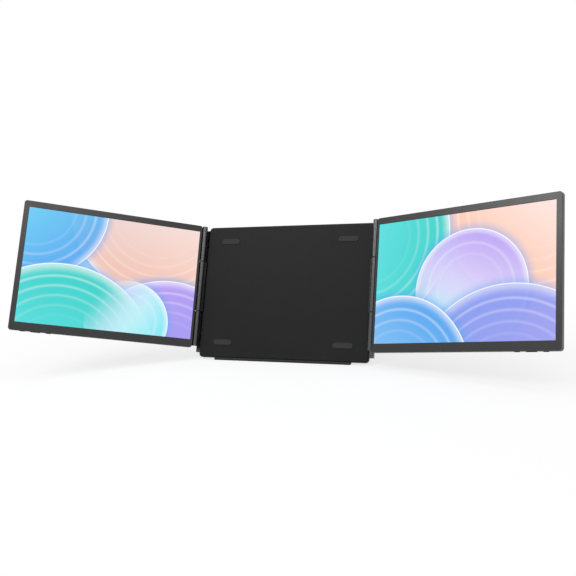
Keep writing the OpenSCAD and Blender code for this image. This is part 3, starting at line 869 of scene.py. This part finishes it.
def right_picture(picture, hues):
    """Large discs: a warm and a turquoise one from the sides, with blue and violet ones below."""
    picture.ground(20, hues.aqua, hues.cream)
    picture.disc(1.34, 1.02, 0.72, 50, hues.peach, hues.white, 0.95)
    picture.disc(-0.06, 0.86, 0.72, 170, hues.teal, hues.aqua, 1.0)
    picture.disc(0.84, 0.40, 0.46, -110, hues.lilac, hues.white, 0.9)
    picture.disc(1.16, -0.40, 0.82, -60, hues.periwinkle, hues.lilac, 0.85)
    picture.disc(0.22, -0.26, 0.64, -130, hues.azure, hues.sky, 1.0)


# ---------- operators ----------


class EXTENDER_OT_displays(bpy.types.Operator):
    """Light the two displays with overlapping discs of colour"""

    bl_idname = "extender.displays"
    bl_label = "Displays"

    def execute(self, context):
        hues = context.scene.extender_picture
        finishes = context.scene.extender_finishes
        tray = pressed_sheet("backlight_tray", finishes.tray)
        for side, painter in zip(SIDES, (left_picture, right_picture)):
            place = display_place(side)
            low, high = node_box(f"{side}_display_panel", place)
            screen = lit_display(f"{side}_screen", painter, place, low, high, hues)
            painted(f"{side}_display_panel", screen)
            painted(f"{side}_backlight", tray)
        return {"FINISHED"}


class EXTENDER_OT_housings(bpy.types.Operator):
    """Make the moulded bezels and rear shells"""

    bl_idname = "extender.housings"
    bl_label = "Housings"

    def execute(self, context):
        radius = context.scene.extender_edges.plastic
        colour = context.scene.extender_finishes.housing
        paint = moulded_plastic("housing_plastic", colour, roughness=0.31, specular=0.5)
        for side in SIDES:
            rounded(f"{side}_bezel", radius, paint)
            rounded(f"{side}_rear_shell", radius, paint)
        return {"FINISHED"}


class EXTENDER_OT_controls(bpy.types.Operator):
    """Make the buttons, rockers, sockets and boards of the displays"""

    bl_idname = "extender.controls"
    bl_label = "Controls and sockets"

    def execute(self, context):
        finishes = context.scene.extender_finishes
        radius = context.scene.extender_edges.metal
        caps = moulded_plastic("button_plastic", finishes.button, roughness=0.36)
        board = circuit_board("board_green", finishes.board)
        for side in SIDES:
            place = display_place(side)
            steel = drawn_steel(f"{side}_socket_steel", finishes.steel, place, roughness=0.28)
            for name in ("power_button", "menu_button", "rocker"):
                rounded(f"{side}_{name}", radius, caps)
            for name in ("sockets", "rocker_pin"):
                painted(f"{side}_{name}", steel)
            for name in ("driver_board", "switch_board"):
                painted(f"{side}_{name}", board)
        return {"FINISHED"}


class EXTENDER_OT_hinges(bpy.types.Operator):
    """Make the two full-height friction hinges"""

    bl_idname = "extender.hinges"
    bl_label = "Hinges"

    def execute(self, context):
        finishes = context.scene.extender_finishes
        radius = context.scene.extender_edges.metal
        for side in SIDES:
            place = display_place(side)
            metal = anodised_metal(f"{side}_hinge_metal", finishes.hinge, place)
            steel = drawn_steel(f"{side}_shaft_steel", finishes.steel, place, roughness=0.24)
            washer = drawn_steel(f"{side}_washer_steel", finishes.washer, place, roughness=0.34)
            for name in ("upper_barrel", "lower_barrel", "barrel_caps", "knuckle"):
                rounded(f"{side}_{name}", radius, metal)
            painted(f"{side}_hinge_shaft", steel)
            painted(f"{side}_friction_washers", washer)
        return {"FINISHED"}


class EXTENDER_OT_centre_frame(bpy.types.Operator):
    """Make the covers, pads and foot of the centre frame"""

    bl_idname = "extender.centre_frame"
    bl_label = "Centre frame"

    def execute(self, context):
        finishes = context.scene.extender_finishes
        edges = context.scene.extender_edges
        cover = moulded_plastic("frame_plastic", finishes.body, roughness=0.5, specular=0.15)
        rubber = soft_rubber("rubber", finishes.rubber)
        rounded("frame_front", edges.plastic, cover)
        rounded("frame_rear", edges.plastic, cover)
        rounded("lid_pads", edges.rubber, rubber)
        rounded("frame_foot", edges.rubber, rubber)
        steel = drawn_steel("stiffener_steel", finishes.steel, frame_place(), roughness=0.4)
        painted("frame_stiffener", steel)
        return {"FINISHED"}


class EXTENDER_OT_kickstand(bpy.types.Operator):
    """Make the kickstand's leg, foot, pins and brackets"""

    bl_idname = "extender.kickstand"
    bl_label = "Kickstand"

    def execute(self, context):
        finishes = context.scene.extender_finishes
        edges = context.scene.extender_edges
        place = frame_place()
        rounded("kickstand_leg", edges.metal, powder_coat("leg_paint", finishes.leg))
        rounded("kickstand_foot", edges.rubber, soft_rubber("foot_rubber", finishes.rubber))
        brackets = anodised_metal("bracket_metal", finishes.hinge, place)
        rounded("kickstand_brackets", edges.metal, brackets)
        painted("kickstand_pins", drawn_steel("pin_steel", finishes.steel, place, roughness=0.24))
        return {"FINISHED"}


class EXTENDER_OT_screws(bpy.types.Operator):
    """Make the screws, with a cross recess in each head"""

    bl_idname = "extender.screws"
    bl_label = "Screws"

    def execute(self, context):
        colour = context.scene.extender_finishes.screw
        paint = drawn_steel("dark_screws", colour, frame_place(), roughness=0.32)
        backward = Matrix.Rotation(math.pi, 4, "Y")
        for side in SIDES:
            cross_screws(f"{side}_shell_screws", [display_place(side) @ backward], paint)
        for node in ("frame_screws", "kickstand_screws"):
            cross_screws(node, [frame_place() @ backward], paint)
        outward = [Matrix.Rotation(turn, 4, "Y") for turn in (math.pi / 2, -math.pi / 2)]
        cross_screws("knuckle_screws", [frame_place() @ turn for turn in outward], paint)
        return {"FINISHED"}


class EXTENDER_OT_stage(bpy.types.Operator):
    """Set up the floor, the lamps and the camera"""

    bl_idname = "extender.stage"
    bl_label = "Stage"

    def execute(self, context):
        studio = context.scene.extender_studio
        context.scene.view_settings.view_transform = "Standard"
        add_floor()
        add_world(context.scene, studio.room_light)
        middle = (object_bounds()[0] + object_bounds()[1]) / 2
        add_lamp("key_lamp", KEY_PLACE, middle, KEY_SIZE, studio.key_power)
        add_lamp("fill_lamp", FILL_PLACE, middle, FILL_SIZE, studio.fill_power)
        add_lamp("top_lamp", TOP_PLACE, middle, TOP_SIZE, studio.top_power)
        camera = bpy.data.objects.new("camera", bpy.data.cameras.new("camera"))
        camera.data.lens = studio.camera_lens
        camera.data.sensor_width = SENSOR_WIDTH
        heading = Matrix.Rotation(studio.camera_heading, 4, "Z")
        tilt = Matrix.Rotation(math.pi / 2 - studio.camera_tilt, 4, "X")
        roll = Matrix.Rotation(studio.camera_roll, 4, "Z")
        camera.matrix_world = Matrix.Translation(studio.camera_place) @ heading @ tilt @ roll
        context.scene.collection.objects.link(camera)
        context.scene.camera = camera
        return {"FINISHED"}


def add_lamp(name, place, target, size, power):
    """A soft lamp of a width and height that faces a target."""
    lamp = bpy.data.lights.new(name, "AREA")
    lamp.shape = "RECTANGLE"
    lamp.size, lamp.size_y = size
    lamp.energy = power
    made = bpy.data.objects.new(name, lamp)
    turn = (target - place).to_track_quat("-Z", "Y").to_matrix().to_4x4()
    made.matrix_world = Matrix.Translation(place) @ turn
    bpy.context.scene.collection.objects.link(made)


def add_world(scene, room_light):
    """A white background, and an even room light on the object."""
    scene.world = bpy.data.worlds.new("studio")
    web = Web(scene.world)
    background = web.ready("BACKGROUND")
    web.fill(background.inputs["Color"], (1, 1, 1, 1))
    web.fill(background.inputs["Strength"], web.backdrop() * (1 - room_light) + room_light)


def add_floor():
    """A pale floor that takes the object's shadow and fades to white further out."""
    mesh = bmesh.new()
    bmesh.ops.create_grid(mesh, x_segments=1, y_segments=1, size=FLOOR_SIZE)
    data = bpy.data.meshes.new("floor")
    mesh.to_mesh(data)
    mesh.free()
    floor = bpy.data.objects.new("floor", data)
    bpy.context.scene.collection.objects.link(floor)
    paint = Paint("floor")
    position = paint.position()
    length = {"operation": "LENGTH"}
    distance = paint.node("ShaderNodeVectorMath", length, {0: position}, output="Value")
    grain = paint.noise(position, 4 * MM, detail=3)
    paint.surface(base_color=paint.mixed(grain, *FLOOR_GREYS), roughness=0.9, specular=0.2)
    glow = paint.node("ShaderNodeEmission", {}, {"Color": (1, 1, 1, 1), "Strength": 1.0})
    outward = distance.smooth(GLOW_START, GLOW_FULL) * (1 - GLOW_LEAST) + GLOW_LEAST
    share = outward * paint.backdrop()
    plain = Value(paint, paint.shader.outputs[0])
    blend = paint.node("ShaderNodeMixShader", {}, {0: share, 1: plain, 2: glow})
    paint.fill(paint.ready("OUTPUT_MATERIAL").inputs["Surface"], blend)
    data.materials.append(paint.material)
    floor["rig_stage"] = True


class EXTENDER_PT_steps(bpy.types.Panel):
    """Steps that finish the extender, in their order"""

    bl_label = "Screen Extender"
    bl_idname = "EXTENDER_PT_steps"
    bl_space_type = "VIEW_3D"
    bl_region_type = "UI"
    bl_category = "Extender"

    def draw(self, context):
        for step in STEPS:
            self.layout.operator(step.bl_idname)
        for group in SETTINGS:
            box = self.layout.box()
            for name in SETTINGS[group].__annotations__:
                box.prop(getattr(context.scene, group), name)


SETTINGS = {
    "extender_edges": ExtenderEdges,
    "extender_finishes": ExtenderFinishes,
    "extender_picture": ExtenderPicture,
    "extender_studio": ExtenderStudio,
}
STEPS = (
    EXTENDER_OT_displays,
    EXTENDER_OT_housings,
    EXTENDER_OT_controls,
    EXTENDER_OT_hinges,
    EXTENDER_OT_centre_frame,
    EXTENDER_OT_kickstand,
    EXTENDER_OT_screws,
    EXTENDER_OT_stage,
)


def register():
    for made in (*SETTINGS.values(), *STEPS, EXTENDER_PT_steps):
        bpy.utils.register_class(made)
    for name, made in SETTINGS.items():
        setattr(bpy.types.Scene, name, PointerProperty(type=made))


def unregister():
    for name in SETTINGS:
        delattr(bpy.types.Scene, name)
    for made in reversed((*SETTINGS.values(), *STEPS, EXTENDER_PT_steps)):
        bpy.utils.unregister_class(made)


def main():
    """Registers the add-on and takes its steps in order."""
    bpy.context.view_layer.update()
    register()
    bpy.ops.extender.displays()
    bpy.ops.extender.housings()
    bpy.ops.extender.controls()
    bpy.ops.extender.hinges()
    bpy.ops.extender.centre_frame()
    bpy.ops.extender.kickstand()
    bpy.ops.extender.screws()
    bpy.ops.extender.stage()


if __name__ == "__main__":
    main()
